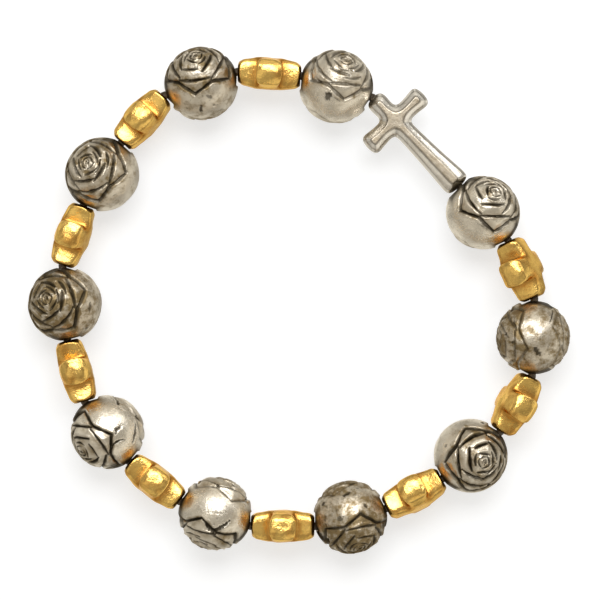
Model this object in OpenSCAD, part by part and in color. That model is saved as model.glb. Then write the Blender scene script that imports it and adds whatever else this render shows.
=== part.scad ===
/* [Rose beads] */
// Diameter of a rose bead over its petals
rose_d = 8; // [6:0.5:12]
// Bore through a rose bead for the thread
rose_bore = 1.4; // [1.2:0.1:2]
// Diameter of the flat round each end of the bore, where the next bead seats
rose_seat_d = 3.2; // [3:0.1:4]
// Widest groove between the petals
groove_w = 0.5; // [0.2:0.05:0.6]
// Deepest groove between the petals
groove_deep = 0.28; // [0.1:0.02:0.5]
// Step from a petal's raised lip down to the petal outside it
petal_step = 0.07; // [0.02:0.01:0.12]
// Depth of the small pit at the heart of the rose
heart_deep = 0.14; // [0.05:0.01:0.3]

/* [Gold cross beads] */
// Distance over two opposite arms of a gold cross bead
gold_d = 6.85; // [5:0.05:10]
// Thickness of a gold cross bead at its middle
gold_thick = 3.5; // [3.2:0.1:5]
// Thickness of a gold cross bead at its arm ends
gold_end_thick = 2.8; // [2.4:0.1:3.1]
// Width of an arm where it leaves the middle
gold_root_w = 2.1; // [1.9:0.1:2.6]
// Width of an arm at its end
gold_tip_w = 2.9; // [2.7:0.1:3.6]
// Radius of the inner corner between two arms
gold_corner_r = 0.4; // [0.2:0.05:0.6]
// Radius of the long edges of an arm end
gold_edge_r = 0.45; // [0.2:0.05:0.6]
// Bore through a gold cross bead for the thread
gold_bore = 1.2; // [1.1:0.1:1.6]

/* [Silver cross bead] */
// Length of the silver cross along the string
cross_len = 13.4; // [11:0.2:18]
// Length over its two side arms
cross_span = 8.3; // [7:0.1:11]
// Length of the short arm, from the middle of the side arms
cross_head = 3.55; // [3:0.05:4.5]
// Width of the short arm and the side arms at their ends
cross_arm_w = 2.4; // [2.3:0.1:3]
// Width of all arms where they meet
cross_root_w = 2.2; // [2.1:0.1:2.6]
// Width of the long arm at its end
cross_foot_w = 3.1; // [2.6:0.1:4]
// Thickness of the silver cross
cross_thick = 3; // [2.6:0.1:4]
// Width of the sloping edge beside the raised strip
cross_bevel = 0.7; // [0.3:0.05:0.8]
// Height of the raised strip above the sides
cross_raise = 0.45; // [0.2:0.05:0.6]
// Radius of the inner corners where the arms meet
cross_corner_r = 0.5; // [0.2:0.05:0.8]
// Radius of the corners of each arm's end
cross_end_r = 0.6; // [0.3:0.05:0.8]
// Bore along the silver cross for the thread
cross_bore = 1.2; // [1.1:0.1:1.5]

/* [Thread] */
// Diameter of the elastic thread
thread_d = 0.9; // [0.5:0.1:1]
// Gap between neighbouring beads
bead_gap = 0.05; // [0.03:0.01:0.2]

/* [Hidden] */
ROSES = 10;
GOLDS = 9;

SILVER = "silver";
GOLD = "goldenrod";
THREAD = "gainsboro";
// Facets of every round face that stays a true curve
FINE = 64;

rose_r = rose_d / 2;
string_z = rose_r;

// Way that each piece on the string points, in degrees, clockwise round the bracelet.
// The silver cross comes first, then rose and gold beads by turns.
HEADINGS = [-46, -48, -66, -92, -120, -141, -152, -166, -180, -199,
            -218, -233, -254, -266, -289, -301, -312, -342, -364, -377];
LEGS = len(HEADINGS);

// How each rose bead has turned on the string: roll of its rose from straight up towards
// the outside of the bracelet, lean of the rose along the string, and spin of one petal
// tip from the end of the bead that the string leaves by.
ROSE_TURNS = [[40, -12, 172], [-80, 4, 0], [20, -10, 180], [63, -2, 180], [79, 4, 0],
              [62, 1, 190], [28, 10, 0], [28, 3, 4], [49, 6, 180], [48, 4, 0]];
// How far the upper arm of each gold cross leans to the inside of the bracelet
GOLD_ROLLS = [24, -15, 16, 0, 3, 0, -6, -8, 0];

// Route of the string
function is_rose(i) = i % 2 == 1;
function wrap(i) = (i + LEGS) % LEGS;
// Bend of the string after leg i
function bend(hs, i) = abs(hs[wrap(i + 1)] - hs[i] - (i == LEGS - 1 ? 360 : 0));
// Distance from the middle of a rose bead to the flat round its bore
rose_seat = sqrt(pow(rose_r, 2) - pow(rose_seat_d / 2, 2));
// Half width of the flat end of a cross, and the radius of the edge beside it
GOLD_END = [gold_end_thick / 2 - gold_edge_r, gold_edge_r];
CROSS_FOOT = [cross_foot_w / 2 - cross_end_r, cross_end_r];
CROSS_HEAD = [cross_arm_w / 2 - cross_end_r, cross_end_r];
// Distance from the middle of a rose bead to the end of a cross where the string bends
// by b: the inner edge of that end then clears the flat round the bore
function seat(b, end) = rose_seat + bead_gap + end[0] * sin(b) + end[1] * (1 - cos(b));
function before(hs, i) = seat(bend(hs, wrap(i - 1)), i == 1 ? CROSS_FOOT : GOLD_END);
function after(hs, i) = seat(bend(hs, i), i == LEGS - 1 ? CROSS_HEAD : GOLD_END);
function leg(hs, i) =
    is_rose(i) ? before(hs, i) + after(hs, i) : i == 0 ? cross_len : gold_d;
function way(h) = [cos(h), sin(h)];
function total(list, i = 0) = i == len(list) - 1 ? list[i] : list[i] + total(list, i + 1);
// The loop is closed by turning every heading a little, most on opposite sides of the loop
function turned(a) = [for (h = HEADINGS) h + a[0] * cos(h) + a[1] * sin(h)];
function miss(hs) = total([for (i = [0:LEGS - 1]) leg(hs, i) * way(hs[i])]);
NUDGE = 0.01;
CLOSING_STEPS = 6;
function closed(a = [0, 0], n = CLOSING_STEPS) =
    n == 0 ? a :
    let (m = miss(turned(a)),
         u = (miss(turned(a + [NUDGE, 0])) - m) / NUDGE,
         v = (miss(turned(a + [0, NUDGE])) - m) / NUDGE,
         det = u[0] * v[1] - u[1] * v[0])
    closed(a - [m[0] * v[1] - m[1] * v[0], u[0] * m[1] - u[1] * m[0]] / det, n - 1);
headings = turned(closed());
function corner(i) = i == 0 ? [0, 0] : corner(i - 1) + leg(headings, i - 1) * way(headings[i - 1]);
corners = [for (i = [0:LEGS - 1]) corner(i)];
// Middle of the piece on leg i, before the bracelet is centred
function raw_middle(i) =
    corners[i] + way(headings[i]) * (is_rose(i) ? before(headings, i) : leg(headings, i) / 2);
rose_middles = [for (i = [1:2:LEGS - 1]) raw_middle(i)];
xs = [for (p = rose_middles) p[0]];
ys = [for (p = rose_middles) p[1]];
centre = [min(xs) + max(xs), min(ys) + max(ys)] / 2;
function middle(i) = raw_middle(i) - centre;

// A piece on the string: X runs along the string, Y to the outside and Z up
module on_string(i) {
    translate([middle(i)[0], middle(i)[1], string_z])
        rotate([0, 0, headings[i]])
            children();
}

module bore_along(d, length) {
    rotate([0, 90, 0]) cylinder(d = d, h = length, center = true, $fn = FINE);
}

// Rose relief, in polar degrees from the heart of the rose.
// A groove ring has four or five sides or, outermost, five tips.
SIDES = 20;
// Columns: polar angle facing a petal tip, polar angle at a waist, steps of twist,
// groove width facing a tip and at a waist, as shares of groove_w,
// groove depth facing a tip and at a waist, as shares of groove_deep, petals round the ring
GROOVES = [
    [12, 16, -2, 0.55, 0.30, 0.60, 0.25, 4],
    [23, 30, -1, 0.80, 0.35, 0.85, 0.35, 4],
    [41, 48, 0, 1.00, 0.40, 1.00, 0.45, 5],
    [68, 54, 0, 0.70, 0.80, 0.70, 0.90, 5]];
HEART_POLAR = 3.5;

// Angle from the nearest tip of groove g, up to half a petal at a waist
function to_tip(g, az) =
    let (petal = 360 / g[7], m = ((az % petal) + petal) % petal) min(m, petal - m);
// Straight line on the ball between the polar angles of groove g facing a tip and at a waist
function straight(g, m) =
    let (half = 180 / g[7]) atan2(sin(half), sin(half - m) / tan(g[0]) + sin(m) / tan(g[1]));
// From a facing a tip of groove g to b at a waist
function share(g, a, b, m) = a + (b - a) * (1 - cos(g[7] * m)) / 2;
function ball(r, polar, az) = r * [sin(polar) * cos(az), sin(polar) * sin(az), cos(polar)];
// side is -1, 0 or 1: inner lip, bottom or outer lip of the groove
function groove_point(g, side, k) =
    let (m = to_tip(g, az_of(k - g[2])),
         wide = groove_w * share(g, g[3], g[4], m) / rose_r * 180 / PI,
         deep = groove_deep * share(g, g[5], g[6], m),
         r = rose_r - (side == 0 ? deep : side == 1 ? petal_step : 0))
    ball(r, straight(g, m) + side * wide / 2, az_of(k));
function outer_polar(g, az) =
    let (m = to_tip(g, az))
    straight(g, m) + groove_w * share(g, g[3], g[4], m) / rose_r * 90 / PI;
function az_of(k) = k * 360 / SIDES;
STAR = GROOVES[len(GROOVES) - 1];
PENTAGON = GROOVES[len(GROOVES) - 2];
heart_ring = [for (k = [0:SIDES - 1]) ball(rose_r, HEART_POLAR, az_of(k))];
groove_rings = [for (g = GROOVES) for (side = [-1:1])
    [for (k = [0:SIDES - 1]) groove_point(g, side, k)]];
// Fullest line of the five outer petals, between the pentagon and the star
belly_ring = [for (k = [0:SIDES - 1])
    let (az = az_of(k),
         inner = straight(PENTAGON, to_tip(PENTAGON, az)),
         outer = straight(STAR, to_tip(STAR, az)))
    ball(rose_r - petal_step / 2, (inner + outer) / 2, az)];
// Half way from the star to the middle of the band between the two roses
band_ring = [for (k = [0:SIDES - 1])
    ball(rose_r, (outer_polar(STAR, az_of(k)) + 90) / 2, az_of(k))];
INNER_RINGS = 3 * (len(GROOVES) - 1);
rose_rings = concat(
    [heart_ring],
    [for (i = [0:INNER_RINGS - 1]) groove_rings[i]],
    [belly_ring],
    [for (i = [INNER_RINGS:INNER_RINGS + 2]) groove_rings[i]],
    [band_ring]);
equator = [for (k = [0:SIDES - 1]) ball(rose_r, 90, az_of(k))];
// The rose on the far side is the same one turned half a turn about Y
function far(ring) = [for (k = [0:SIDES - 1])
    let (p = ring[(SIDES / 2 - k + SIDES) % SIDES]) [-p[0], p[1], -p[2]]];
heart = [0, 0, rose_r - heart_deep];
bead_rings = concat(
    rose_rings,
    [equator],
    [for (i = [len(rose_rings) - 1:-1:0]) far(rose_rings[i])]);
bead_points = concat([heart, -heart], [for (ring = bead_rings) for (p = ring) p]);
function at(ring, k) = 2 + ring * SIDES + (k % SIDES);
LAST_RING = len(bead_rings) - 1;
bead_faces = concat(
    [for (k = [0:SIDES - 1]) [0, at(0, k + 1), at(0, k)]],
    [for (ring = [0:LAST_RING - 1]) for (k = [0:SIDES - 1])
        each [[at(ring, k), at(ring, k + 1), at(ring + 1, k + 1)],
              [at(ring, k), at(ring + 1, k + 1), at(ring + 1, k)]]],
    [for (k = [0:SIDES - 1]) [1, at(LAST_RING, k), at(LAST_RING, k + 1)]]);

// Ball with a rose on two opposite sides, bored across and flat round both holes
module rose_bead(n) {
    turns = ROSE_TURNS[n - 1];
    color(SILVER) on_string(2 * n - 1) difference() {
        intersection() {
            rotate([-turns[0], 0, 0]) rotate([0, turns[1], 0]) rotate([0, 0, turns[2]])
                polyhedron(points = bead_points, faces = bead_faces);
            cube([2 * rose_seat, 2 * rose_d, 2 * rose_d], center = true);
        }
        bore_along(rose_bore, 2 * rose_d);
    }
}

// Section of the puffed disc that the gold cross is cut from
gold_r = gold_d / 2;
RIM_STEPS = 3;
CROWN_STEPS = 4;
crown_r = gold_r - gold_edge_r;
crown_rise = (gold_thick - gold_end_thick) / 2;
gold_half_section = concat(
    [for (i = [0:CROWN_STEPS]) let (t = i / CROWN_STEPS)
        [crown_r * t, gold_end_thick / 2 + crown_rise * (1 - t * t)]],
    [for (i = [1:RIM_STEPS]) let (a = 90 - 90 * i / RIM_STEPS)
        [crown_r, gold_end_thick / 2 - gold_edge_r] + gold_edge_r * way(a)]);
gold_section = concat(
    gold_half_section,
    [for (i = [len(gold_half_section) - 1:-1:0])
        [gold_half_section[i][0], -gold_half_section[i][1]]]);
// Notch between two arms: a rounded corner that opens outwards
arm_flare = atan((gold_tip_w - gold_root_w) / 2 / (gold_r - gold_root_w / 2));
notch_half = 45 - arm_flare;
notch_start = gold_root_w / 2 * sqrt(2);
notch_round = notch_start + gold_corner_r / sin(notch_half);
NOTCH_REACH = 2;
NOTCH_STEPS = 6;
module notch() {
    linear_extrude(height = 2 * gold_thick, center = true) polygon(concat(
        [for (i = [0:NOTCH_STEPS])
            [notch_round, 0] + gold_corner_r * way(90 + notch_half + 2 * (90 - notch_half) * i / NOTCH_STEPS)],
        [for (side = [-1, 1]) [notch_start, 0] + NOTCH_REACH * gold_r * way(side * notch_half)]));
}

// Puffed cross with four equal arms, bored through two of them and standing on edge
module gold_cross(n) {
    color(GOLD) on_string(2 * n) rotate([90 + GOLD_ROLLS[n - 1], 0, 0]) difference() {
        rotate([0, 0, 45]) rotate_extrude($fn = FINE) polygon(gold_section);
        for (k = [0:3]) rotate([0, 0, 45 + 90 * k]) notch();
        bore_along(gold_bore, 2 * gold_d);
    }
}

// Outline of the silver cross, drawn in by some distance; X runs towards the long arm
FILLET_STEPS = 2;
END_STEPS = 2;
// Least radius of an end corner on the raised strip, as a share of the full one
END_MIN = 0.3;
cross_middle = cross_head - cross_len / 2;
// Arm i of the cross: way it points, length from the middle, width at its end
cross_arms = [
    [0, cross_len - cross_head, cross_foot_w],
    [90, cross_span / 2, cross_arm_w],
    [180, cross_head, cross_arm_w],
    [270, cross_span / 2, cross_arm_w]];
function turn2(p, a) = [p[0] * cos(a) - p[1] * sin(a), p[0] * sin(a) + p[1] * cos(a)];
// Upper half of an arm that points along X: rounded root, then rounded corner at the end
function arm_side(arm, inset) =
    let (root = cross_root_w / 2 - inset,
         r = cross_corner_r + inset,
         end_r = max(cross_end_r - inset, cross_end_r * END_MIN),
         end_corner = [arm[1] - inset - end_r, arm[2] / 2 - inset - end_r])
    concat(
        [for (i = [0:FILLET_STEPS - 1])
            [root + r, root + r] + r * way(-135 + 45 * (i + 0.5) / FILLET_STEPS)],
        [for (i = [0:END_STEPS]) end_corner + end_r * way(90 - 90 * i / END_STEPS)]);
function arm_outline(arm, inset) =
    let (side = arm_side(arm, inset))
    concat([for (p = side) [p[0], -p[1]]], [for (i = [len(side) - 1:-1:0]) side[i]]);
function cross_outline(inset) = [for (arm = cross_arms)
    for (p = arm_outline(arm, inset)) turn2(p, arm[0]) + [cross_middle, 0]];
// Sections of the cross from its back to its front: height as a share of half the
// thickness, and inset as a share of the bevel's width
side_share = 1 - 2 * cross_raise / cross_thick;
CROSS_LEVELS = [[-1, 1], [-side_share, 0.2], [-0.45, 0], [0.45, 0], [side_share, 0.2], [1, 1]];
cross_rings = [for (level = CROSS_LEVELS)
    [for (p = cross_outline(cross_bevel * level[1])) [p[0], p[1], level[0] * cross_thick / 2]]];
CROSS_SIDES = len(cross_rings[0]);
cross_points = [for (ring = cross_rings) for (p = ring) p];
cross_faces = concat(
    [[for (k = [0:CROSS_SIDES - 1]) k]],
    [for (ring = [0:len(cross_rings) - 2]) for (k = [0:CROSS_SIDES - 1])
        let (a = ring * CROSS_SIDES + k, b = ring * CROSS_SIDES + (k + 1) % CROSS_SIDES)
        each [[a, a + CROSS_SIDES, b + CROSS_SIDES], [a, b + CROSS_SIDES, b]]],
    [[for (k = [CROSS_SIDES - 1:-1:0]) (len(cross_rings) - 1) * CROSS_SIDES + k]]);

// Cross with flared arms and a raised strip, lying flat and bored from end to end
module silver_cross() {
    color(SILVER) on_string(0) difference() {
        polyhedron(points = cross_points, faces = cross_faces);
        bore_along(cross_bore, 2 * cross_len);
    }
}

// Elastic thread: a closed round cord that runs straight through each bead
THREAD_SIDES = 8;
function mitre(i) =
    let (before_way = way(headings[wrap(i - 1)]), after_way = way(headings[i]),
         mean = before_way + after_way,
         side = [-mean[1], mean[0]] / norm(mean))
    side / (side * [-after_way[1], after_way[0]]);
thread_points = [for (i = [0:LEGS - 1]) for (k = [0:THREAD_SIDES - 1])
    let (a = (k + 0.5) * 360 / THREAD_SIDES,
         p = corners[i] - centre + mitre(i) * thread_d / 2 * cos(a))
    [p[0], p[1], string_z + thread_d / 2 * sin(a)]];
thread_faces = [for (i = [0:LEGS - 1]) for (k = [0:THREAD_SIDES - 1])
    let (a = i * THREAD_SIDES + k, b = i * THREAD_SIDES + (k + 1) % THREAD_SIDES,
         c = wrap(i + 1) * THREAD_SIDES + k, d = wrap(i + 1) * THREAD_SIDES + (k + 1) % THREAD_SIDES)
    each [[a, c, d], [a, d, b]]];
module elastic_thread() {
    color(THREAD) polyhedron(points = thread_points, faces = thread_faces);
}

for (i = [1:ROSES]) rose_bead(i);
for (i = [1:GOLDS]) gold_cross(i);
silver_cross();
elastic_thread();
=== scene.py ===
import math

import bmesh
import bpy
import numpy as np
from mathutils import Matrix, Vector


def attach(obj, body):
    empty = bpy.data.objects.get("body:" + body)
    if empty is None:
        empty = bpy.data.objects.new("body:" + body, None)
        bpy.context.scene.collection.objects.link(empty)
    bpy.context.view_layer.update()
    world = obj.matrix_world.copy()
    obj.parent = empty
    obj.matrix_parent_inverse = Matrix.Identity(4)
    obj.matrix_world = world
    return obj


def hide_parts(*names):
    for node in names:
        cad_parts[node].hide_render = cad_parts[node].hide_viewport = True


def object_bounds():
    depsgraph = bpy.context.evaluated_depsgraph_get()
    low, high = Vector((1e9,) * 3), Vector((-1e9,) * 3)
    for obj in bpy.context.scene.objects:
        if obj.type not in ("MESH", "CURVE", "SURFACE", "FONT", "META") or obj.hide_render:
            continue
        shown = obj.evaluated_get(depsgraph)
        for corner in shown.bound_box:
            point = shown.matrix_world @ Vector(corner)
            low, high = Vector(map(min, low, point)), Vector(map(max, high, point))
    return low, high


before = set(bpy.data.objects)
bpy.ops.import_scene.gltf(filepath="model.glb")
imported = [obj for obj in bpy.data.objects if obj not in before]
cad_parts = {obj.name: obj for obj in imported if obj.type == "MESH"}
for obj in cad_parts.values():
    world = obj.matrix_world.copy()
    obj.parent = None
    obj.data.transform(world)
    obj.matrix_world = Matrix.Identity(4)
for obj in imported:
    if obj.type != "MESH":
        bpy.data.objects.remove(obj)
CAD_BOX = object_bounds()

MM = 0.001
ROSES = 10
GOLDS = 9

# ---- the string -----------------------------------------------------------------------------
STRING_Z = 4.0
# Way that the string runs through each piece, in degrees, clockwise from the silver cross
HEADINGS = (-45.75, -47.75, -65.75, -91.80, -119.90, -140.99, -152.04, -166.10, -180.15,
            -199.21, -218.24, -233.25, -254.24, -266.21, -289.14, -301.10, -312.05, -341.92,
            -363.83, -376.80)
# Roll, lean and spin of each rose bead on the string, and roll of each gold cross, in degrees
ROSE_TURNS = ((40, -12, 172), (-80, 4, 0), (20, -10, 180), (63, -2, 180), (79, 4, 0),
              (62, 1, 190), (28, 10, 0), (28, 3, 4), (49, 6, 180), (48, 4, 0))
GOLD_ROLLS = (24, -15, 16, 0, 3, 0, -6, -8, 0)
# Room left between a rose bead and its neighbour's end
PIECE_GAP = 0.05


def turn(degrees, axis):
    return Matrix.Rotation(math.radians(degrees), 4, axis)


def middle(node, heading):
    """Middle of a CAD piece, measured along and across the string, in millimetres."""
    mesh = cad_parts[node].data
    co = np.zeros(len(mesh.vertices) * 3)
    mesh.vertices.foreach_get("co", co)
    co = co.reshape(-1, 3)[:, :2] / MM
    a = math.radians(heading)
    ways = np.array(((math.cos(a), math.sin(a)), (-math.sin(a), math.cos(a))))
    there = co @ ways.T
    return ((there.min(0) + there.max(0)) / 2) @ ways


def on_string(node, heading):
    x, y = middle(node, heading)
    return Matrix.Translation((x, y, STRING_Z)) @ turn(heading, "Z")


def neighbours(n):
    """The pieces before and after a rose bead: name, heading, half its length and width in mm."""
    for leg, strung_w in ((2 * n - 2, CROSS_FOOT_W), ((2 * n) % len(HEADINGS), CROSS_ARM_W)):
        if leg:
            yield f"gold_cross_{leg // 2}", HEADINGS[leg], GOLD_R, GOLD_END_W / 2
        else:
            yield "silver_cross", HEADINGS[0], CROSS_LEN / 2, strung_w / 2


def seats(n):
    """Where a rose bead is cut back for its neighbours' ends: the way out, how far out in mm, the
    way across, how far across the end's middle is, and half the end's width."""
    here = middle(f"rose_bead_{n}", HEADINGS[2 * n - 1])
    for node, heading, half, end in neighbours(n):
        a = math.radians(heading)
        along = np.array((math.cos(a), math.sin(a), 0))
        across = np.array((-math.sin(a), math.cos(a), 0))
        apart = middle(node, heading) - here
        out, aside = apart @ along[:2], apart @ across[:2]
        yield along * np.sign(out), abs(out) - half - PIECE_GAP, across, aside, end + PIECE_GAP


# ---- mesh helpers ---------------------------------------------------------------------------
# How squarely a face looks one way to count as facing it, and how near in mm is the same place
SQUARE_ON, SAME_PLACE = 0.95, 0.1
# Sides of a bore, and levels of smoothing on the crosses
BORE_SIDES, SMOOTH_LEVELS = 48, 3


def deselect():
    if bpy.context.object and bpy.context.object.mode != "OBJECT":
        bpy.ops.object.mode_set(mode="OBJECT")
    bpy.ops.object.select_all(action="DESELECT")


def only(piece):
    deselect()
    bpy.context.view_layer.objects.active = piece
    piece.select_set(True)


def edit(piece):
    only(piece)
    bpy.ops.object.mode_set(mode="EDIT")
    bpy.ops.mesh.select_mode(type="FACE")
    bpy.ops.mesh.select_all(action="DESELECT")


def pick_faces(piece, test):
    bm = bmesh.from_edit_mesh(piece.data)
    bm.normal_update()
    for f in bm.faces:
        f.select_set(False)
    for f in bm.faces:
        if test(f):
            f.select_set(True)
    bmesh.update_edit_mesh(piece.data)


def pick_edges(piece, test):
    bpy.ops.mesh.select_mode(type="EDGE")
    bm = bmesh.from_edit_mesh(piece.data)
    bm.normal_update()
    for e in bm.edges:
        e.select_set(False)
    for e in bm.edges:
        if test(e):
            e.select_set(True)
    bmesh.update_edit_mesh(piece.data)


def finish_edit():
    bpy.ops.object.mode_set(mode="OBJECT")


def facing(way):
    way = Vector(way)
    return lambda f: f.normal.dot(way) > SQUARE_ON


def crease(piece, test, value):
    pick_edges(piece, test)
    bpy.ops.transform.edge_crease(value=value)


def draw_arm(way, start, rings):
    """Draws the picked face out through rings of distance, width and thickness in mm."""
    way = Vector(way)
    side = Vector((abs(way.y), abs(way.x), 0))
    reach, wide, thick = start
    for next_reach, next_wide, next_thick in rings:
        bpy.ops.mesh.extrude_region_move(
            TRANSFORM_OT_translate={"value": way * (next_reach - reach) * MM})
        scale = Vector((1, 1, next_thick / thick)) + side * (next_wide / wide - 1)
        bpy.ops.transform.resize(value=scale, center_override=way * next_reach * MM)
        reach, wide, thick = next_reach, next_wide, next_thick


def block_side(way, half):
    """The side of the middle block that faces one way, and no side of an arm."""
    faces_it, spot = facing(way), Vector(way) * half * MM
    return lambda f: faces_it(f) and (f.calc_center_median() - spot).length < SAME_PLACE * MM


def apply_modifier(piece, kind, **values):
    only(piece)
    m = piece.modifiers.new(kind.title(), kind)
    for name, value in values.items():
        setattr(m, name, value)
    bpy.ops.object.modifier_apply(modifier=m.name)


def vertices(piece):
    co = np.zeros(len(piece.data.vertices) * 3)
    piece.data.vertices.foreach_get("co", co)
    return co.reshape(-1, 3) / MM


def move_vertices(piece, co):
    piece.data.vertices.foreach_set("co", (co * MM).astype(np.float32).ravel())
    piece.data.update()


def paint(piece, name, values):
    layer = piece.data.attributes.get(name) or piece.data.attributes.new(name, "FLOAT", "POINT")
    layer.data.foreach_set("value", np.asarray(values, np.float32))


def rotate(co, matrix):
    return co @ np.array(matrix.to_3x3()).T


def as_above(ways):
    """The lower half turned over about Y, so that it repeats what is drawn on the upper one."""
    return ways * np.where(ways[:, 2:] < 0, (-1, 1, -1), (1, 1, 1))


def place(co, matrix):
    return rotate(co, matrix) + np.array(matrix.translation)


def kept_in_box(co, centre):
    """Squeezes the halves of a piece that would pass the CAD model's box."""
    low, high = (np.array(corner) / MM - centre for corner in CAD_BOX)
    own = co - centre
    shares = np.where(own < 0, np.minimum(low / own.min(0), 1), np.minimum(high / own.max(0), 1))
    return centre + own * shares


def copy_of(piece, name):
    twin = bpy.data.objects.new(name, piece.data.copy())
    twin.data.name = name
    bpy.context.scene.collection.objects.link(twin)
    return twin


def drill(piece, matrix, radius, length):
    """Cuts the bore for the thread, along X of the matrix."""
    deselect()
    bpy.ops.mesh.primitive_cylinder_add(vertices=BORE_SIDES, radius=radius * MM, depth=length * MM)
    bit = bpy.context.object
    co = place(rotate(vertices(bit), turn(90, "Y")), matrix)
    move_vertices(bit, co)
    apply_modifier(piece, "BOOLEAN", operation="DIFFERENCE", object=bit, solver="EXACT")
    bpy.data.objects.remove(bit)


def ripples(co, seed, count, shortest, longest):
    """Smooth waves over a cast surface, about -1 to 1."""
    rng = np.random.default_rng(seed)
    total = np.zeros(len(co))
    for _ in range(count):
        way = rng.normal(size=3)
        way /= np.linalg.norm(way)
        length = rng.uniform(shortest, longest)
        total += np.sin(co @ way * 2 * math.pi / length + rng.uniform(0, 2 * math.pi))
    return total / math.sqrt(count)


# ---- rose relief ----------------------------------------------------------------------------
ROSE_R = 4.0
ROSE_BORE_R = 0.7
BALL_COLUMNS, BALL_RINGS = 276, 154
# Share of the rings that lie on the two flowers, out to their edge in degrees from the heart
FLOWER_RINGS, FLOWER_EDGE = 0.88, 72
# Grooves of one rose: azimuth and polar angle of both ends in degrees, bow to the outside in
# degrees, width and depth in mm, and how much the groove narrows to its ends, from 0 to 1
STAR_TIP, STAR_WAIST = 68, 54
PENTAGON_START, PENTAGON_END = 46.5, 50
PENTAGON_BOWS = (1, 4, 0.5, 5, 1)
GROOVES = []
for fifth in range(5):
    tip = 72 * fifth
    for side in (-36, 36):
        GROOVES.append((tip, STAR_TIP, tip + side, STAR_WAIST, 0, 0.56, 0.2, 0))
    GROOVES.append((tip + 36, PENTAGON_START, tip - 36, PENTAGON_END, PENTAGON_BOWS[fifth],
                    0.56, 0.19, 0.35))
# Petals inside the pentagon, from the outer ring to the heart
GROOVES += [
    (82, 28, 33, 32, 1.0, 0.56, 0.2, 0.4), (95, 34, 178, 24, 2.0, 0.58, 0.21, 0.4),
    (160, 38, 238, 29, 2.0, 0.56, 0.2, 0.4), (226, 31, 298, 29, 2.0, 0.54, 0.19, 0.4),
    (31, 34, -34, 24, 3.0, 0.56, 0.2, 0.4), (-26, 35, -76, 34, 2.0, 0.46, 0.15, 0.5),
    (82, 17, 6, 15, 1.5, 0.4, 0.13, 0.4), (160, 15, 94, 19, 1.5, 0.4, 0.12, 0.4),
    (264, 18, 194, 20, 1.5, 0.42, 0.14, 0.4), (10, 21, -62, 17, 2.0, 0.42, 0.14, 0.4),
    (-48, 22, -112, 21, 1.5, 0.4, 0.13, 0.4),
    (192, 9.5, 108, 10.5, 2.0, 0.3, 0.09, 0.35), (102, 9, 14, 9.5, 2.0, 0.3, 0.09, 0.35),
    (22, 10.5, -70, 9, 2.0, 0.3, 0.09, 0.35), (-58, 11, -152, 10, 2.0, 0.3, 0.09, 0.35),
    (160, 4, 30, 5, 1.5, 0.22, 0.06, 0.3), (20, 5, -130, 4.5, 1.5, 0.22, 0.06, 0.3)]
HEART_R, HEART_DEEP, HEART_INK = 0.2, 0.08, 0.9
# How much is left of the star on the far side, which is more worn
FAR_STAR = 0.6
# Waves in the width and in the route of the grooves: seed, count, shortest and longest in mm
WIDTH_WAVES, ROUTE_WAVES = (7, 20, 0.7, 1.8), (8, 14, 1.2, 3.0)
WIDTH_WAVE, WIDTH_LEAST, WIDTH_MOST = 0.2, 0.5, 1.5
ROUTE_WAVE = 0.028
# How far the black fills a groove, and how far past its ends what lies beside it fades out
INK_FILL = 1.75
END_FADE = 0.15
# Raised lip outside a groove: height, place and half width, and the depth where it has gone
LIP, LIP_OUT, LIP_HALF_W, LIP_GONE = 0.12, 0.07, 0.08, 0.03
# The petals fall off towards a groove: depth and reach, on its inner and its outer side
INNER_FALL, INNER_REACH = 0.15, 0.42
OUTER_FALL, OUTER_REACH = 0.03, 0.4
# Reach of the brown beside a groove, outside and inside it: tarnish, and painted shade on the
# petal slopes that fall into the groove
STAIN_SHADE_OUT, STAIN_SHADE_IN = 0.1, 0.5


def on_ball(azimuth, polar):
    a, p = math.radians(azimuth), math.radians(polar)
    return np.array((math.sin(p) * math.cos(a), math.sin(p) * math.sin(a), math.cos(p)))


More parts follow.
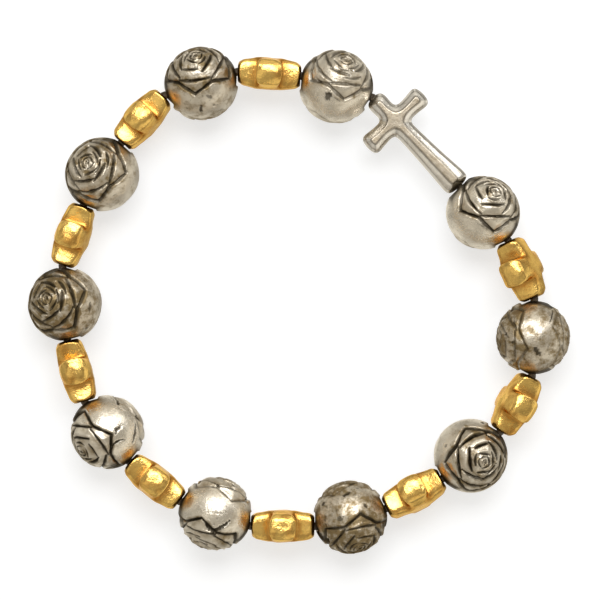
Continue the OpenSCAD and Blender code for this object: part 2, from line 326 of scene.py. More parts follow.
def rose_relief(ways, worn):
    """Height in mm over the ball, oxide in the grooves, brown beside them that is tarnish and
    painted shade, heart at Z.
    """
    wobble = ripples(ways * ROSE_R, *WIDTH_WAVES)
    drift = ripples(ways * ROSE_R, *ROUTE_WAVES) * ROUTE_WAVE
    groove = np.zeros(len(ways))
    lip = np.zeros(len(ways))
    fall = np.zeros(len(ways))
    ink = np.zeros(len(ways))
    stain_and_shade = np.zeros(len(ways))
    for az_a, polar_a, az_b, polar_b, bow, wide, deep, narrow in GROOVES:
        kept = worn if narrow == 0 else 1
        a, b = on_ball(az_a, polar_a), on_ball(az_b, polar_b)
        n = np.cross(a, b)
        n /= np.linalg.norm(n)
        if n[2] > 0:
            n = -n
        span = math.acos(a @ b)
        on = np.cross(n, a) * (1 if np.cross(n, a) @ b > 0 else -1)
        s = np.arctan2(ways @ on, ways @ a) / span
        inside = np.clip(s, 0, 1)
        hump = 4 * inside * (1 - inside)
        share = (1 - narrow) + narrow * hump
        past = np.maximum(np.maximum(-s, s - 1), 0) * span * ROSE_R
        off = np.arcsin(np.clip(ways @ n, -1, 1)) - math.radians(bow) * hump
        q = off * ROSE_R + drift
        far = np.hypot(q, past)
        half = wide / 2 * share * np.clip(1 + WIDTH_WAVE * wobble, WIDTH_LEAST, WIDTH_MOST)
        bowl = 0.5 + 0.5 * np.cos(math.pi * np.clip(far / half, 0, 1))
        groove = np.maximum(groove, deep * share * bowl * kept)
        ink = np.maximum(ink, np.clip(bowl * (0.5 + 0.5 * share) * INK_FILL, 0, 1) * kept)
        ends = np.clip(1 - past / END_FADE, 0, 1)
        edge = np.maximum(far - half, 0)
        ridge = np.exp(-((edge - LIP_OUT) / LIP_HALF_W) ** 2)
        lip = np.maximum(lip, LIP * share * ends * (q > 0) * ridge)
        # Brown beside the groove: tarnish, and painted shade where the petal falls into it
        film = np.exp(-(edge / np.where(q > 0, STAIN_SHADE_OUT, STAIN_SHADE_IN)) ** 2)
        stain_and_shade = np.maximum(stain_and_shade, share * ends * kept * film)
        inner = INNER_FALL * np.exp(-(edge / INNER_REACH) ** 2)
        outer = OUTER_FALL * np.exp(-(edge / OUTER_REACH) ** 2)
        fall = np.maximum(fall, share * ends * np.where(q > 0, outer, inner))
    heart = np.arccos(np.clip(ways[:, 2], -1, 1)) * ROSE_R
    bowl = 0.5 + 0.5 * np.cos(math.pi * np.clip(heart / HEART_R, 0, 1))
    groove = np.maximum(groove, HEART_DEEP * bowl)
    clear = np.clip(1 - groove / LIP_GONE, 0, 1)
    return np.minimum(lip * clear - fall, 0) - groove, np.maximum(ink, HEART_INK * bowl), stain_and_shade


# Marks on the bands, by bead: places seen from above in bead radii from the middle of the bead,
# width and depth in mm, and how dark the mark is. One place is a pit, more are a crease.
MARKS = {
    10: [([(-0.22, -0.30)], 0.9, 0.16, 1), ([(-0.11, -0.31), (0.12, -0.46)], 0.12, 0.05, 0.6),
         ([(-0.60, 0.39)], 0.4, 0.05, 0.4),
         ([(-0.56, 0.20), (-0.5, 0.12), (-0.42, 0.08)], 0.3, 0.08, 0.2)],
    6: [([(0.26, 0.06), (0.32, 0.11), (0.39, 0.19)], 0.42, 0.16, 1),
        ([(0.16, -0.44), (0.28, -0.24), (0.52, -0.17)], 0.3, 0.12, 1),
        ([(0.79, 0.26), (0.77, -0.02), (0.71, -0.27)], 0.34, 0.1, 0.8),
        ([(0.30, 0.91), (0.31, 0.75)], 0.3, 0.1, 0.9),
        ([(0.08, -0.91), (0.31, -0.86)], 0.2, 0.07, 0.8)],
    5: [([(-0.24, -0.22), (0.01, -0.40), (0.44, -0.11)], 0.62, 0.2, 1),
        ([(0.56, -0.48), (0.55, -0.69)], 0.36, 0.14, 1),
        ([(-0.21, 0.11), (0.28, 0.04)], 0.16, 0.05, 0.5),
        ([(-0.48, 0.86), (-0.36, 0.90)], 0.6, 0.2, 0.9)],
    4: [([(-0.96, -0.21), (-0.85, -0.45), (-0.57, -0.66)], 1.2, 0.2, 1),
        ([(-0.2, 0.62), (-0.02, 0.72)], 0.5, 0.14, 0.9), ([(-0.74, 0.4)], 0.5, 0.12, 0.9),
        ([(-0.30, 0.02)], 0.7, 0.04, 0.7), ([(0.42, 0.34)], 0.5, 0.1, 0.8)],
    2: [([(0.50, 0.75), (0.47, 0.56), (0.39, 0.38)], 0.2, 0.07, 0.9),
        ([(-0.55, 0.54), (-0.55, 0.4), (-0.50, 0.28)], 0.2, 0.07, 0.8),
        ([(-0.59, 0.76)], 0.6, 0.12, 1), ([(-0.79, 0.10)], 0.45, 0.12, 0.9),
        ([(-0.61, -0.13)], 0.35, 0.1, 0.9), ([(0.0, -0.26), (0.07, -0.46)], 0.6, 0.06, 0.9)],
    3: [([(0.30, 0.90)], 0.5, 0.1, 1), ([(-0.69, 0.28)], 0.35, 0.05, 0.6),
        ([(-0.82, 0.50)], 0.3, 0.05, 0.6)],
    1: [([(-0.22, -0.28), (0.11, -0.49)], 0.14, 0.05, 0.7)],
    9: [([(0.02, -0.62), (0.0, -0.80)], 0.35, 0.08, 0.9),
        ([(0.16, -0.36), (0.30, -0.42)], 0.4, 0.07, 0.7),
        ([(0.36, -0.62)], 0.4, 0.05, 0.6)],
    7: [([(0.72, 0.06), (0.70, -0.22)], 0.4, 0.07, 0.7), ([(0.60, -0.66)], 0.5, 0.07, 0.8)],
}
# How tarnished each rose bead is all over, from bead 1
TARNISH = (0.2, 0.8, 0.4, 0.9, 0.3, 0.2, 0.8, 0.5, 0.6, 0.25)
# How much of its cast relief each bead has kept
KEPT = (0.95, 0.6, 1, 0.9, 1, 1, 0.9, 0.9, 0.95, 0.75)
# Steps along a crease, how bluntly it ends, and how much of a mark is black
CREASE_STEPS, CREASE_BLUNT, MARK_INK = 14, 0.4, 2.5
# Ragged edge of a mark: first seed, how ragged, and count, shortest and longest of its waves
MARK_SEED, RAGGED, RAGGED_WAVES = 40, 0.28, (16, 0.25, 0.8)
# Least height over the middle, squared, of a place near the rim of the view
RIM_HEIGHT = 0.02


def seen_from_above(x, y):
    return np.array((x, y, math.sqrt(max(1 - x * x - y * y, RIM_HEIGHT))))


def band_marks(n, ways):
    """Depth and darkness of a bead's own marks; the hidden underside gets the same ones."""
    deep = np.zeros(len(ways))
    dark = np.zeros(len(ways))
    both = as_above(ways)
    ragged = 1 + RAGGED * ripples(both * ROSE_R, MARK_SEED + n, *RAGGED_WAVES)
    for places, wide, depth, ink in MARKS.get(n, []):
        if len(places) == 1:
            route = [seen_from_above(*places[0])]
            sizes = [wide / 2]
        else:
            a, c = np.array(places[0]), np.array(places[-1])
            b = np.array(places[1]) * 2 - (a + c) / 2 if len(places) == 3 else (a + c) / 2
            steps = [(i + 0.5) / CREASE_STEPS for i in range(CREASE_STEPS)]
            route = [seen_from_above(*((1 - t) ** 2 * a + 2 * t * (1 - t) * b + t * t * c))
                     for t in steps]
            sizes = [wide / 2 * (4 * t * (1 - t)) ** CREASE_BLUNT for t in steps]
        shape = np.zeros(len(ways))
        for point, half in zip(route, sizes):
            point = point / np.linalg.norm(point)
            far = np.linalg.norm(both - point, axis=1) * ROSE_R * ragged
            shape = np.maximum(shape, np.clip(1 - (far / half) ** 2, 0, 1))
        deep = np.maximum(deep, depth * shape)
        dark = np.maximum(dark, ink * np.clip(shape * MARK_INK, 0, 1))
    return deep, dark


# Waves over a rose bead: first seed, count, shortest and longest, height on a clean bead, what
# full tarnish adds to it, and how far the waves lie under the ball
ROSE_SEED, ROSE_WAVES = 100, (20, 0.9, 4.0)
CLEAN_WAVE, TARNISH_WAVE, WAVES_DOWN = 0.007, 0.012, 0.02
# Seat for a neighbour's end: slope of the cut beside it, and the reach and black of the painted
# shade round it, where the bead meets that end
SEAT_WALL, SEAT_SHADE_REACH, SEAT_SHADE_BLACK = 2.0, 0.75, 0.92
ROSE_SMOOTH = 80


def rose_master():
    """Ball with both roses' rings of vertices drawn together, and the relief over them."""
    deselect()
    bpy.ops.mesh.primitive_uv_sphere_add(segments=BALL_COLUMNS, ring_count=BALL_RINGS,
                                         radius=ROSE_R * MM)
    ball = bpy.context.object
    ball.name = "rose_master"
    ways = vertices(ball) / ROSE_R
    polar = np.degrees(np.arccos(np.clip(np.abs(ways[:, 2]), 0, 1)))
    moved = np.radians(np.interp(polar, (0, 90 * FLOWER_RINGS, 90), (0, FLOWER_EDGE, 90)))
    round_it = np.arctan2(ways[:, 1], ways[:, 0])
    ways = np.stack((np.sin(moved) * np.cos(round_it), np.sin(moved) * np.sin(round_it),
                     np.cos(moved) * np.where(ways[:, 2] < 0, -1, 1)), 1)
    height, ink, stain_and_shade = rose_relief(as_above(ways), np.where(ways[:, 2] < 0, FAR_STAR, 1))
    return ball, ways, height, ink, stain_and_shade


def rose_bead(n, master, ways, height, ink, stain_and_shade, material):
    node = f"rose_bead_{n}"
    heading = HEADINGS[2 * n - 1]
    spot = on_string(node, heading)
    roll, lean, spin = ROSE_TURNS[n - 1]
    own_turn = turn(-roll, "X") @ turn(lean, "Y") @ turn(spin, "Z")
    bead = copy_of(master, f"rose_silver_{n}")
    in_world = rotate(ways, spot @ own_turn)
    deep, dark = band_marks(n, in_world)
    tarnish = TARNISH[n - 1]
    height, ink = height * KEPT[n - 1], ink * KEPT[n - 1]
    waves = ripples(ways * ROSE_R, ROSE_SEED + n, *ROSE_WAVES)
    waves = waves * (CLEAN_WAVE + TARNISH_WAVE * tarnish) - WAVES_DOWN
    radius = ROSE_R + np.minimum(height - deep + waves, 0)
    co = rotate(ways * radius[:, None], spot @ own_turn)
    # Painted shade round each seat, where the bead meets a neighbour's end: the black and brown
    # layers grow dark there
    rim = np.zeros(len(co))
    for way, far, across, aside, end in seats(n):
        out = co @ way
        beside = np.maximum(np.abs(co @ across - aside), np.abs(co[:, 2])) - end
        rim = np.maximum(rim, np.clip(1 - beside / SEAT_SHADE_REACH, 0, 1) * (out > ROSE_R / 2))
        limit = far + SEAT_WALL * np.maximum(beside, 0)
        co -= np.maximum(out - limit, 0)[:, None] * way
    centre = np.array(spot.translation)
    move_vertices(bead, kept_in_box(co + centre, centre))
    paint(bead, "oxide_and_shade", np.maximum(np.maximum(ink, dark), SEAT_SHADE_BLACK * rim ** 2))
    paint(bead, "stain_and_shade", np.maximum(stain_and_shade, rim))
    paint(bead, "tarnish", np.full(len(co), tarnish))
    drill(bead, spot, ROSE_BORE_R, 3 * ROSE_R)
    bead.data.materials.append(material)
    only(bead)
    bpy.ops.object.shade_smooth_by_angle(angle=math.radians(ROSE_SMOOTH))
    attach(bead, "root")
    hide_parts(node)


# ---- gold cross -----------------------------------------------------------------------------
GOLD_R = 3.425
GOLD_END_W = 2.9
GOLD_THICK = 3.5
GOLD_BORE_R = 0.6
# Width of the middle block
GOLD_BLOCK = 2.5
# Rings along an arm: distance from the middle, width and thickness
GOLD_ROOT_RINGS = ((1.7, 2.45, 3.25), (2.5, 2.62, 2.95))
GOLD_STRUNG_RING, GOLD_FREE_RING = (3.2, 2.85, 2.75), (3.0, 2.85, 2.55)
# Steps over an arm's end: how far in and how far out, strung arms and free ones
GOLD_STRUNG_END, GOLD_FREE_END = ((0.25, 0.16), (0.5, 0.0)), ((0.3, 0.14), (0.5, 0.1))
# Edges that stay firm: least angle in degrees, and crease
GOLD_FIRM, GOLD_CREASE = 60, 0.36
# Dents: first seed, count, shortest and longest, depth, and share of the waves that leave none
GOLD_SEED, GOLD_WAVES = 300, (14, 1.4, 3.6)
GOLD_HAMMER, GOLD_UNHURT = 0.05, 0.8
# Reach of the painted shade round the corners between the arms, and of the painted shade at a
# joint, where the cross meets a bead
GOLD_CORNER_SHADE, GOLD_JOINT_SHADE = 1.1, 0.4
GOLD_SMOOTH = 50


def gold_master():
    """Puffed cross with its arms along X and Y, shaped from a cube."""
    deselect()
    bpy.ops.mesh.primitive_cube_add(size=1)
    cross = bpy.context.object
    cross.name = "gold_master"
    edit(cross)
    bpy.ops.mesh.select_all(action="SELECT")
    bpy.ops.transform.resize(value=(GOLD_BLOCK * MM, GOLD_BLOCK * MM, GOLD_THICK * MM))
    for way in ((1, 0, 0), (0, 1, 0), (-1, 0, 0), (0, -1, 0)):
        pick_faces(cross, block_side(way, GOLD_BLOCK / 2))
        last, end = GOLD_STRUNG_RING, GOLD_STRUNG_END
        if way[1]:
            last, end = GOLD_FREE_RING, GOLD_FREE_END
        draw_arm(way, (GOLD_BLOCK / 2, GOLD_BLOCK, GOLD_THICK), GOLD_ROOT_RINGS + (last,))
        for inwards, outwards in end:
            bpy.ops.mesh.inset(thickness=inwards * MM, depth=outwards * MM)
    firm = math.radians(GOLD_FIRM)
    crease(cross, lambda e: e.is_convex and e.calc_face_angle(0) > firm, GOLD_CREASE)
    finish_edit()
    apply_modifier(cross, "SUBSURF", levels=SMOOTH_LEVELS, render_levels=SMOOTH_LEVELS)
    co = vertices(cross)
    co *= np.array((GOLD_R, GOLD_R, GOLD_THICK / 2)) / np.abs(co).max(0)
    move_vertices(cross, co)
    return cross


def gold_cross(n, master, material):
    node = f"gold_cross_{n}"
    spot = on_string(node, HEADINGS[2 * n])
    bead = copy_of(master, f"gold_plated_cross_{n}")
    co = vertices(bead)
    # Painted shade in the corners between the arms, and at the ends that meet the beads
    corner_shade = np.zeros(len(co))
    for k in range(4):
        a = math.radians(45 + 90 * k)
        apex = np.array((math.cos(a), math.sin(a))) * GOLD_BLOCK / 2 * math.sqrt(2)
        far = np.linalg.norm(co[:, :2] - apex, axis=1)
        corner_shade = np.maximum(corner_shade, np.clip(1 - far / GOLD_CORNER_SHADE, 0, 1))
    joint = (np.abs(co[:, 0]) - GOLD_R + GOLD_JOINT_SHADE) / GOLD_JOINT_SHADE
    paint(bead, "corner_shade", corner_shade)
    paint(bead, "joint", np.clip(joint, 0, 1))
    dent = np.minimum(ripples(co, GOLD_SEED + n, *GOLD_WAVES) - GOLD_UNHURT, 0) * GOLD_HAMMER
    co += co / np.linalg.norm(co, axis=1)[:, None] * dent[:, None]
    co = rotate(co, turn(90 + GOLD_ROLLS[n - 1], "X"))
    move_vertices(bead, place(co, spot))
    drill(bead, spot, GOLD_BORE_R, 3 * GOLD_R)
    bead.data.materials.append(material)
    only(bead)
    bpy.ops.object.shade_smooth_by_angle(angle=math.radians(GOLD_SMOOTH))
    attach(bead, "root")
    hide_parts(node)


# ---- silver cross ---------------------------------------------------------------------------
CROSS_LEN, CROSS_HEAD, CROSS_SPAN = 13.4, 3.55, 8.3
CROSS_ROOT_W, CROSS_ARM_W, CROSS_FOOT_W = 2.2, 2.55, 3.15
CROSS_THICK = 3.0
CROSS_BORE_R = 0.6
# Height of the strip, and of the upright sides as a share of the thickness
CROSS_RAISE, CROSS_SIDE = 0.45, 0.45
# How far in the shoulder and the strip's edge lie
CROSS_SHOULDER, CROSS_BEVEL = 0.27, 0.84
# Where the arms are narrowest: distance past the middle block, and width; and the flare's length
# and how much of the widening has come before it
CROSS_HOLD, CROSS_WAIST_W, CROSS_FLARE, CROSS_BEFORE = 0.75, 2.02, 1.1, 0.8
# Level edges that stay firm: least angle in degrees, and crease
CROSS_FIRM, CROSS_CREASE = 15, 0.8
# How much the strip narrows towards the foot
STRIP_NARROWS = 0.34
# Paint: depth of the strip's top, whose darker worn tone is also painted shade, place and half
# width of the painted shade line along it, half width and strength of the painted shade line at
# the foot of the slopes
STRIP_DEEP = 0.05
LINE_DEEP, LINE_HALF_W = 0.07, 0.05
FOOT_HALF_W, FOOT_LINE = 0.09, 0.45
# Waves: seed, count, shortest and longest, and height across and up
CROSS_WAVES, CROSS_WAVE = (500, 12, 1.5, 4.0), (0, 0.008, 0.008)
CROSS_SMOOTH = 50


def silver_cross(material):
    """Flat cross with its foot along X, shaped from a cube."""
    spot = on_string("silver_cross", HEADINGS[0])
    deselect()
    bpy.ops.mesh.primitive_cube_add(size=1)
    cross = bpy.context.object
    cross.name = "bright_silver_cross"
    wall = CROSS_SIDE * CROSS_THICK
    edit(cross)
    bpy.ops.mesh.select_all(action="SELECT")
    bpy.ops.transform.resize(value=(CROSS_ROOT_W * MM, CROSS_ROOT_W * MM, wall * MM))
    half = CROSS_ROOT_W / 2
    arms = (((1, 0, 0), CROSS_LEN - CROSS_HEAD, CROSS_FOOT_W),
            ((-1, 0, 0), CROSS_HEAD, CROSS_ARM_W),
            ((0, 1, 0), CROSS_SPAN / 2, CROSS_ARM_W),
            ((0, -1, 0), CROSS_SPAN / 2, CROSS_ARM_W))
    for way, reach, wide in arms:
        pick_faces(cross, block_side(way, half))
        rings = [(half + CROSS_HOLD, CROSS_WAIST_W, wall)]
        near_end = reach - CROSS_FLARE
        if near_end > half + 2 * CROSS_HOLD:
            share = (near_end - half) / (reach - half)
            widening = (wide - CROSS_WAIST_W) * share * CROSS_BEFORE
            rings.append((near_end, CROSS_WAIST_W + widening, wall))
        draw_arm(way, (half, CROSS_ROOT_W, wall), rings + [(reach, wide, wall)])
    shoulder = (CROSS_THICK - wall) / 2 - CROSS_RAISE
    for way in (1, -1):
        pick_faces(cross, facing((0, 0, way)))
        bpy.ops.mesh.inset(thickness=CROSS_SHOULDER * MM, depth=shoulder * MM)
        bpy.ops.mesh.inset(thickness=(CROSS_BEVEL - CROSS_SHOULDER) * MM, depth=CROSS_RAISE * MM)

    def level(e):
        a, b = e.verts
        same_height = abs(a.co.z - b.co.z) < SAME_PLACE / 10 * MM
        return same_height and e.calc_face_angle(0) > math.radians(CROSS_FIRM)

    crease(cross, level, CROSS_CREASE)
    finish_edit()
    apply_modifier(cross, "SUBSURF", levels=SMOOTH_LEVELS, render_levels=SMOOTH_LEVELS)
    co = vertices(cross)
    low, high = co.min(0), co.max(0)
    size = np.array((CROSS_LEN, CROSS_SPAN, CROSS_THICK))
    co = (co - (low + high) / 2) * size / (high - low)
    drop = CROSS_THICK / 2 - np.abs(co[:, 2])
    # The strip's top is painted darker for wear and as painted shade; the lines beside it and at
    # the foot of the slopes are painted shade
    paint(cross, "strip", np.clip(1 - drop / STRIP_DEEP, 0, 1))
    beside_strip = np.exp(-((drop - LINE_DEEP) / LINE_HALF_W) ** 2)
    foot_of_slope = np.exp(-((drop - CROSS_RAISE) / FOOT_HALF_W) ** 2)
    paint(cross, "line", np.maximum(beside_strip, FOOT_LINE * foot_of_slope))
    down = np.clip((co[:, 0] + CROSS_LEN / 2 - CROSS_HEAD) / (CROSS_LEN - CROSS_HEAD), 0, 1)
    co[:, 1] *= 1 - STRIP_NARROWS * down * np.clip(1 - drop / CROSS_RAISE, 0, 1)
    co += ripples(co, *CROSS_WAVES)[:, None] * np.array(CROSS_WAVE)
    move_vertices(cross, place(co, spot))
    drill(cross, spot, CROSS_BORE_R, 2 * CROSS_LEN)
    cross.data.materials.append(material)
    only(cross)
    bpy.ops.object.shade_smooth_by_angle(angle=math.radians(CROSS_SMOOTH))
    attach(cross, "root")
    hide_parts("silver_cross")


# ---- materials ------------------------------------------------------------------------------
class Finish:
    """A material under construction: small helpers round its node tree."""

    def __init__(self, name):
        self.material = bpy.data.materials.new(name)
        self.material.use_nodes = True
        self.tree = self.material.node_tree
        self.shader = self.tree.nodes["Principled BSDF"]
        self.place = self.tree.nodes.new("ShaderNodeTexCoord").outputs["Object"]

    def node(self, kind, **inputs):
        made = self.tree.nodes.new(kind)
        for name, value in inputs.items():
            self.feed(made.inputs[name], value)
        return made

    def feed(self, socket, value):
        if isinstance(value, bpy.types.NodeSocket):
            self.tree.links.new(value, socket)
        else:
            socket.default_value = value

    def noise(self, scale, detail, rough):
        made = self.node("ShaderNodeTexNoise", Vector=self.place, Scale=scale, Detail=detail,
                         Roughness=rough)
        return made.outputs[0]

    def math(self, how, a, b, clamp=False):
        made = self.tree.nodes.new("ShaderNodeMath")
        made.operation = how
        made.use_clamp = clamp
        self.feed(made.inputs[0], a)
        self.feed(made.inputs[1], b)
        return made.outputs[0]

    def painted(self, name):
        made = self.tree.nodes.new("ShaderNodeAttribute")
        made.attribute_name = name
        return made.outputs["Fac"]

    def mix(self, share, a, b):
        made = self.tree.nodes.new("ShaderNodeMix")
        made.data_type = "RGBA"
        self.feed(made.inputs["Factor"], share)
        self.feed(made.inputs["A"], a)
        self.feed(made.inputs["B"], b)
        return made.outputs["Result"]

    def bump(self, height, strength, distance):
        made = self.node("ShaderNodeBump", Height=height, Strength=strength, Distance=distance)
        return made.outputs["Normal"]

    def set(self, **inputs):
        for name, value in inputs.items():
            self.feed(self.shader.inputs[name.replace("_", " ")], value)


def colour(r, g, b):
    return (r, g, b, 1.0)


CLEAN_SILVER, TARNISHED_SILVER = colour(0.95, 0.885, 0.77), colour(0.30, 0.225, 0.12)
# Black of the oxide, also used for the painted shade round the seats
OXIDE_AND_SHADE_BLACK = colour(0.05, 0.04, 0.025)
# Deep gold is also the painted shade in the corners between the arms
GOLD_BRIGHT, GOLD_DEEP = colour(1.0, 0.66, 0.19), colour(0.52, 0.20, 0.025)
# Dull gold serves the scuffs, and the painted shade at the joints
GOLD_SCUFF_AND_SHADE, GOLD_EDGE = colour(0.22, 0.09, 0.014), colour(1.0, 0.86, 0.6)
NEW_SILVER, CLOUDED_SILVER = colour(0.93, 0.90, 0.85), colour(0.76, 0.69, 0.58)
# Strip tone is wear and painted shade; the line colour is painted shade
WORN_STRIP_AND_SHADE, LINE_SHADE = colour(0.42, 0.345, 0.235), colour(0.12, 0.09, 0.055)
# Dark brown of the clear thread: painted shade for the gaps between the pieces
THREAD_SHADE_DARK, THREAD_SHADE_LIGHT = colour(0.06, 0.038, 0.018), colour(0.12, 0.075, 0.035)


def antique_silver():
    """Silver with brown tarnish in clouds and specks, and black in what is cast or struck; the
    brown beside the grooves is partly painted shade, and the black and brown round the seats are
    painted shade.
    """
    f = Finish("antique_silver_cast")
    oxide_and_shade, stain_and_shade, tarnish = f.painted("oxide_and_shade"), f.painted("stain_and_shade"), f.painted("tarnish")
    cloud, mottle, speck = f.noise(520, 4, 0.6), f.noise(1050, 6, 0.68), f.noise(1800, 6, 0.7)

    def above(noise, clean, tarnished, slope):
        """Where the noise passes a limit, which full tarnish brings down from clean."""
        limit = f.math("SUBTRACT", clean, f.math("MULTIPLY", tarnish, clean - tarnished))
        return f.math("MULTIPLY", f.math("SUBTRACT", noise, limit), slope, clamp=True)

    depth = f.math("ADD", 0.3, f.math("MULTIPLY", tarnish, 0.45))
    brown = f.math("MULTIPLY", above(mottle, 0.57, 0.40, 5.5), depth)
    # Brown beside the grooves is tarnish and painted shade; round the seats it is painted shade
    beside = f.math("MULTIPLY", stain_and_shade, f.math("MULTIPLY", above(cloud, 0.34, 0.30, 3.0), 0.75))
    all_over = f.math("MULTIPLY", tarnish, 0.36)
    tint = f.math("ADD", f.math("ADD", brown, beside), all_over, clamp=True)
    spots = f.math("MULTIPLY", above(speck, 0.70, 0.53, 7.0), 0.7)
    # Black of the oxide in grooves and marks, and painted shade round the seats
    black = f.math("MULTIPLY", oxide_and_shade, f.math("ADD", 0.66, f.math("MULTIPLY", cloud, 0.6)))
    dark = f.math("MAXIMUM", spots, black, clamp=True)
    metal = f.mix(tint, CLEAN_SILVER, TARNISHED_SILVER)
    rough = f.math("ADD", 0.21, f.math("MULTIPLY", f.math("MAXIMUM", dark, tint), 0.25))
    rough = f.math("ADD", rough, f.math("MULTIPLY", mottle, 0.08))
    pits = f.math("ADD", f.noise(3600, 4, 0.6), f.math("MULTIPLY", mottle, -1.6))
    f.set(Base_Color=f.mix(dark, metal, OXIDE_AND_SHADE_BLACK), Metallic=1.0, Roughness=rough,
          Normal=f.bump(pits, 0.45, 0.00008))
    return f.material


def gold_plate():
    """Polished plate, deeper in clouds, scuffed, with painted shade between the arms and at the
    joints.
    """
    f = Finish("gold_plate_polished")
    corner_shade, joint = f.painted("corner_shade"), f.painted("joint")
    cloud, grain = f.noise(520, 5, 0.62), f.noise(1500, 5, 0.65)
    deep = f.math("MULTIPLY", f.math("SUBTRACT", cloud, 0.46), 5.0, clamp=True)
    # Deeper gold in clouds is tone that differs at random; round the corners between the arms it
    # is painted shade
    deep = f.math("MAXIMUM", f.math("MULTIPLY", deep, 0.62), f.math("MULTIPLY", corner_shade, 0.9))
    gold = f.mix(deep, GOLD_BRIGHT, GOLD_DEEP)
    scuff = f.math("MULTIPLY", f.math("SUBTRACT", grain, 0.66), 9.0, clamp=True)
    # Dull where scuffed, and painted shade at the joints where the cross meets a bead
    scuff_and_shade = f.math("MAXIMUM", f.math("MULTIPLY", scuff, 0.7), f.math("MULTIPLY", joint, 0.85))
    rough = f.math("ADD", 0.19, f.math("MULTIPLY", f.math("MAXIMUM", scuff, deep), 0.15))
    dents = f.math("ADD", cloud, f.math("MULTIPLY", grain, 0.15))
    f.set(Base_Color=f.mix(scuff_and_shade, gold, GOLD_SCUFF_AND_SHADE), Metallic=1.0, Roughness=rough,
          Specular_Tint=GOLD_EDGE, Normal=f.bump(dents, 0.55, 0.00026))
    return f.material


def bright_silver():
    """Bright silver, worn, grainy and painted darker as shade on the strip, with a painted shade
    line round it.
    """
    f = Finish("bright_silver_cast")
    strip, line = f.painted("strip"), f.painted("line")
    cloud = f.math("SUBTRACT", f.noise(600, 4, 0.6), 0.42)
    cloud = f.math("MULTIPLY", cloud, 3.0, clamp=True)
    grain = f.noise(1600, 5, 0.65)
    tint = f.mix(f.math("MULTIPLY", cloud, 0.4), NEW_SILVER, CLOUDED_SILVER)
    # The strip's worn tone is also painted shade
    wear_and_shade = f.math("ADD", 0.42, f.math("MULTIPLY", grain, 0.75))
    base = f.mix(f.math("MULTIPLY", strip, wear_and_shade, clamp=True), tint, WORN_STRIP_AND_SHADE)
    # Painted shade in the line round the strip and at the foot of the slopes
    brown = f.math("MULTIPLY", line, f.math("ADD", 0.35, grain), clamp=True)
    rough = f.math("ADD", 0.17, f.math("MULTIPLY", strip, 0.2))
    f.set(Base_Color=f.mix(brown, base, LINE_SHADE), Metallic=1.0, Roughness=rough,
          Normal=f.bump(f.noise(2200, 4, 0.6), 0.35, 0.00009))
    return f.material


def elastic_in_painted_shade():
    f = Finish("elastic_thread_painted_shade")
    # The clear thread is coloured as painted shade, for the shadow in the gaps between the pieces
    shade = f.mix(f.noise(1800, 3, 0.5), THREAD_SHADE_DARK, THREAD_SHADE_LIGHT)
    f.set(Base_Color=shade, Roughness=0.3, Transmission_Weight=0.7, IOR=1.5,
          Normal=f.bump(f.noise(4000, 2, 0.5), 0.1, 0.00005))
    return f.material


# ---- pieces ---------------------------------------------------------------------------------
SILVER, GOLD, BRIGHT = antique_silver(), gold_plate(), bright_silver()
ball, *relief = rose_master()
for n in range(1, ROSES + 1):
    rose_bead(n, ball, *relief, SILVER)
bpy.data.objects.remove(ball)
gold = gold_master()
for n in range(1, GOLDS + 1):
    gold_cross(n, gold, GOLD)
bpy.data.objects.remove(gold)
silver_cross(BRIGHT)
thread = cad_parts["elastic_thread"]
thread.data.materials.clear()
thread.data.materials.append(elastic_in_painted_shade())

# ---- floor, light and camera ----------------------------------------------------------------
# Side of the floor in metres
FLOOR_SIZE = 6
deselect()
bpy.ops.mesh.primitive_plane_add(size=FLOOR_SIZE)
floor = bpy.context.object
floor.name = "floor"
paper = Finish("pale_floor")
paper.set(Base_Color=colour(0.52, 0.535, 0.56), Roughness=0.9,
          Emission_Color=colour(0.985, 0.99, 1), Emission_Strength=0.6)
floor.data.materials.append(paper.material)
floor.visible_glossy = False

# Soft room round the bracelet: shades by height, from straight down at 0 to straight up at 1
ROOM_SHADES = ((0.0, colour(0.68, 0.65, 0.58)), (0.44, colour(0.62, 0.585, 0.51)),
               (0.53, colour(0.50, 0.46, 0.39)), (1.0, colour(0.62, 0.59, 0.52)))
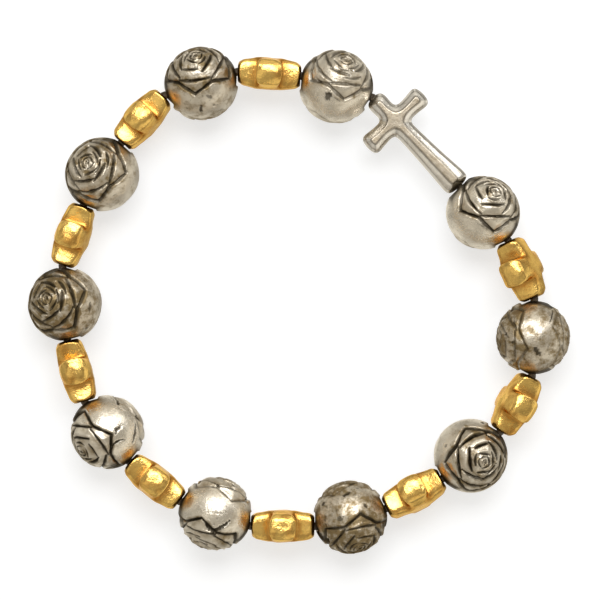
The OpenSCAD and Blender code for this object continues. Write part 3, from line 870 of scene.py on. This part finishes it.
# Lighter and darker parts of the room: scale, and strengths for the least and most noise
ROOM_SCALE, ROOM_NOISE, ROOM_STRENGTH = 1.7, (0.35, 0.65), (0.42, 1.42)
world = bpy.data.worlds.new("soft_room")
bpy.context.scene.world = world
world.use_nodes = True
room = world.node_tree
sky = room.nodes.new("ShaderNodeTexCoord").outputs["Generated"]
split = room.nodes.new("ShaderNodeSeparateXYZ")
ramp = room.nodes.new("ShaderNodeValToRGB")
walls = room.nodes.new("ShaderNodeTexNoise")
walls.inputs["Scale"].default_value = ROOM_SCALE
walls.inputs["Detail"].default_value = 1.0
depth = room.nodes.new("ShaderNodeMapRange")
for name, value in zip(("From Min", "From Max", "To Min", "To Max"), ROOM_NOISE + ROOM_STRENGTH):
    depth.inputs[name].default_value = value
room.links.new(sky, split.inputs[0])
room.links.new(sky, walls.inputs["Vector"])
room.links.new(split.outputs["Z"], ramp.inputs["Fac"])
room.links.new(walls.outputs[0], depth.inputs["Value"])
room.links.new(ramp.outputs["Color"], room.nodes["Background"].inputs["Color"])
room.links.new(depth.outputs["Result"], room.nodes["Background"].inputs["Strength"])
shades = ramp.color_ramp.elements
shades[0].color, shades[1].color = ROOM_SHADES[0][1], ROOM_SHADES[-1][1]
for level, shade in ROOM_SHADES[1:-1]:
    shades.new(level).color = shade


def softbox(name, tilt, side, distance, size, power):
    """Soft light that looks at the origin, tilted from above to the back and to the side."""
    light = bpy.data.lights.new(name, "AREA")
    light.shape = "RECTANGLE"
    light.size, light.size_y = size
    light.energy = power
    lamp = bpy.data.objects.new(name, light)
    bpy.context.scene.collection.objects.link(lamp)
    way = Vector((math.sin(math.radians(side)), math.sin(math.radians(tilt)), 0))
    way.z = math.sqrt(1 - way.x ** 2 - way.y ** 2)
    lamp.location = way * distance
    lamp.rotation_mode = "QUATERNION"
    lamp.rotation_quaternion = way.to_track_quat("Z", "Y")


softbox("window", 28, 0, 0.55, (0.44, 0.27), 1.75)
softbox("wall", 38.6, 38.6, 0.6, (0.36, 0.22), 0.34)

# Camera straight over the bracelet: height in metres, then its place and the width of the frame
# at the thread's height in millimetres
CAMERA_HEIGHT = 0.45
CAMERA_X, CAMERA_Y = 0.1, 0.05
FRAME_WIDTH = 64.5
camera = bpy.data.cameras.new("camera")
camera.sensor_width = 36
camera.lens = camera.sensor_width * (CAMERA_HEIGHT / MM - STRING_Z) / FRAME_WIDTH
eye = bpy.data.objects.new("camera", camera)
eye.location = (CAMERA_X * MM, CAMERA_Y * MM, CAMERA_HEIGHT)
bpy.context.scene.collection.objects.link(eye)
bpy.context.scene.camera = eye
bpy.context.scene.view_settings.view_transform = "Standard"
